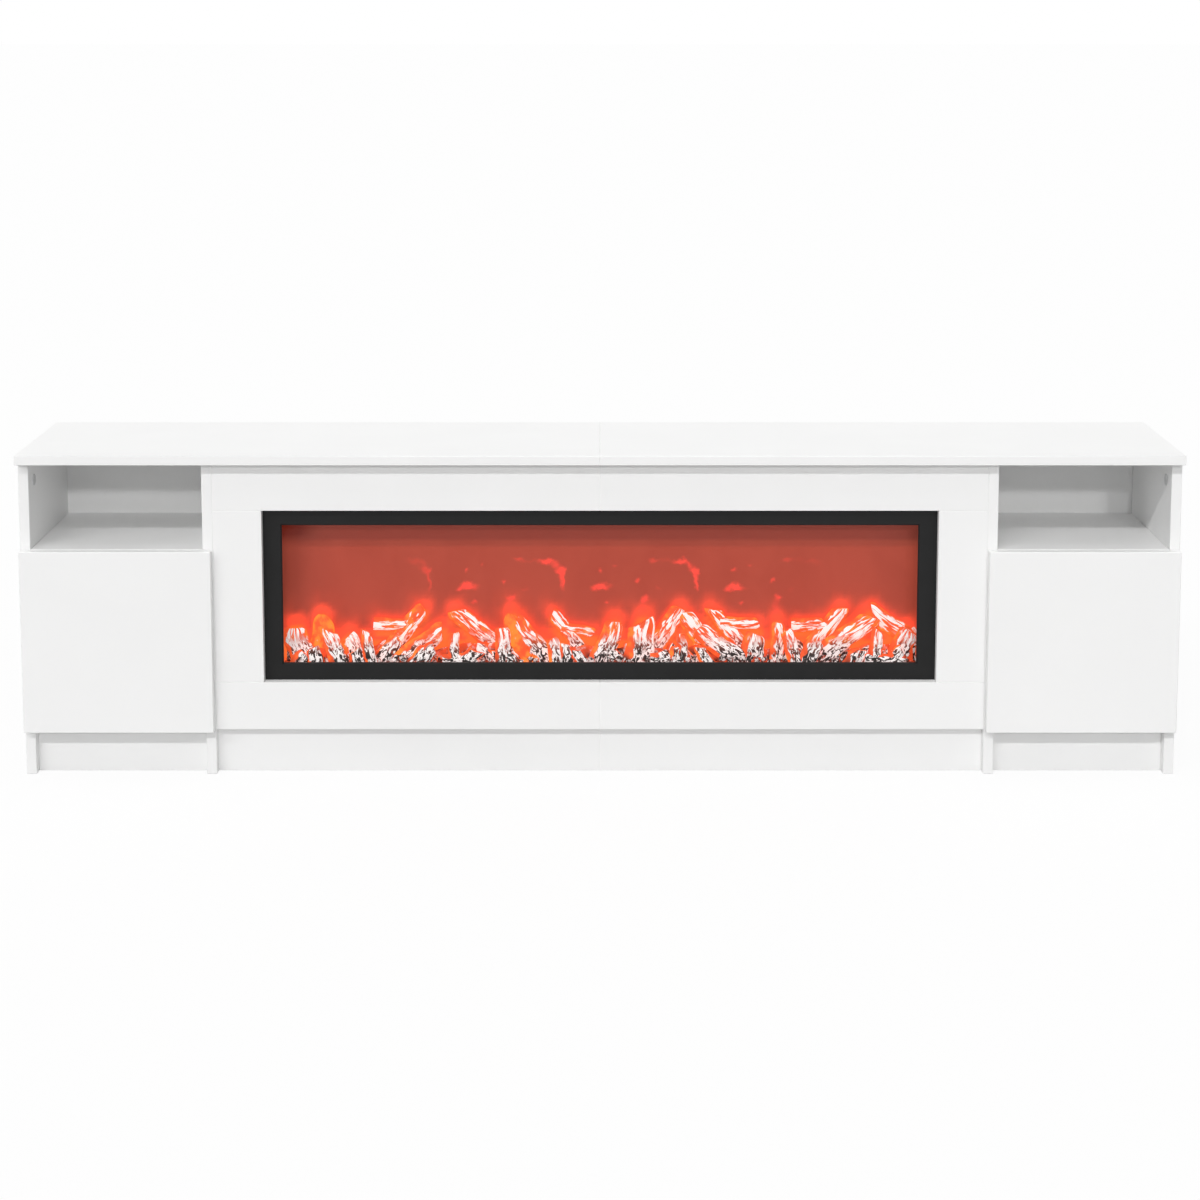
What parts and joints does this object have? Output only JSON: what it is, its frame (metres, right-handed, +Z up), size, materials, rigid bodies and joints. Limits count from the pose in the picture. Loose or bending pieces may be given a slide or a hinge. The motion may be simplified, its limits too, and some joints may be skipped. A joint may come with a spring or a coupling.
{
  "type": "fireplace tv stand",
  "caption": "Low white media cabinet with a glazed log-effect electric fire in the middle, open end bays over push-open doors, on recessed plinths.",
  "frame": {"origin": "on the floor below the middle of the top", "axes": "+X to the right seen from the front, +Y from the front to the back, +Z up"},
  "size_m": [1.8, 0.3, 0.512],
  "materials": {
    "white_laminate": "satin white melamine facing on chipboard",
    "backing_board": "white lacquered thin fibreboard",
    "beech": "plain beech dowel",
    "zinc": "zinc-plated",
    "nickel": "nickel-plated",
    "brass": "sintered bush",
    "grey_plastic": "moulded",
    "black_plastic": "moulded, fine grain",
    "rocker_plastic": "moulded, glossy red",
    "black_steel": "matt black paint on sheet steel",
    "black_frame": "satin black paint",
    "glass": "clear toughened pane",
    "ember_resin": "charred moulding, glowing from below",
    "log_resin": "moulded bark, ash and char",
    "flame_acrylic": "translucent screen lit red from behind",
    "foil": "bright reflecting foil",
    "circuit_board": "white circuit board"
  },
  "bodies": {
    "cabinet": {"back_panel_left": "backing_board", "back_panel_right": "backing_board", "cam_bolts": "zinc", "cam_locks": "zinc", "centre_foot": "white_laminate", "centre_plinth_left": "white_laminate", "centre_plinth_right": "white_laminate", "centre_support": "white_laminate", "control_box": "black_plastic", "corner_brackets": "zinc", "cupboard_floor_left": "white_laminate", "cupboard_floor_right": "white_laminate", "divider_left": "white_laminate", "divider_right": "white_laminate", "dowels": "beech", "ember_bed": "ember_resin", "fascia_bottom_rail_left": "white_laminate", "fascia_bottom_rail_right": "white_laminate", "fascia_stile_left": "white_laminate", "fascia_stile_right": "white_laminate", "fascia_top_rail_left": "white_laminate", "fascia_top_rail_right": "white_laminate", "firebox_back": "black_steel", "firebox_ends": "black_steel", "firebox_floor": "black_steel", "firebox_roof": "black_steel", "flame_screen": "flame_acrylic", "front_glass": "glass", "hearth_deck_left": "white_laminate", "hearth_deck_right": "white_laminate", "hinge_arms": "nickel", "hinge_plates": "nickel", "joining_plates": "zinc", "latch_housings": "grey_plastic", "light_boards": "circuit_board", "logs_back_row": "log_resin", "logs_front_row": "log_resin", "logs_middle_row": "log_resin", "plinth_left": "white_laminate", "plinth_right": "white_laminate", "power_inlet": "black_plastic", "rear_rail_left": "white_laminate", "rear_rail_right": "white_laminate", "rotor_bush": "brass", "rotor_motor": "zinc", "shelf_left": "white_laminate", "shelf_right": "white_laminate", "side_panel_left": "white_laminate", "side_panel_right": "white_laminate", "top_panel_left": "white_laminate", "top_panel_right": "white_laminate", "trim_frame": "black_frame"},
    "left_door": {"door_left": "white_laminate", "hinge_cups_left": "nickel"},
    "right_door": {"door_right": "white_laminate", "hinge_cups_right": "nickel"},
    "left_plunger": {"latch_plunger_left": "grey_plastic"},
    "right_plunger": {"latch_plunger_right": "grey_plastic"},
    "rotor": {"flame_rotor": "foil"},
    "rocker": {"power_rocker": "rocker_plastic"}
  },
  "joints": [
    {"name": "left_door_swing", "type": "hinge", "parent": "cabinet", "child": "left_door", "pos_m": [-0.8915, -0.1365, 0.216], "axis": [0, 0, -1], "range_deg": [0, 95]},
    {"name": "right_door_swing", "type": "hinge", "parent": "cabinet", "child": "right_door", "pos_m": [0.8915, -0.1365, 0.216], "axis": [0, 0, 1], "range_deg": [0, 95]},
    {"name": "left_latch_travel", "type": "slide", "parent": "cabinet", "child": "left_plunger", "axis": [0, -1, 0], "range_m": [0, 0.012]},
    {"name": "right_latch_travel", "type": "slide", "parent": "cabinet", "child": "right_plunger", "axis": [0, -1, 0], "range_m": [0, 0.012]},
    {"name": "rotor_spin", "type": "hinge", "parent": "cabinet", "child": "rotor", "pos_m": [0, -0.006, 0.1512], "axis": [1, 0, 0], "continuous": true},
    {"name": "rocker_tilt", "type": "hinge", "parent": "cabinet", "child": "rocker", "pos_m": [0.41512, 0.0412, 0.2092], "axis": [1, 0, 0], "range_deg": [-16, 0]}
  ],
  "couplings": [
    {"joint": "left_latch_travel", "follows": "left_door_swing", "m_per_rad": 0.00723},
    {"joint": "right_latch_travel", "follows": "right_door_swing", "m_per_rad": 0.00723}
  ]
}
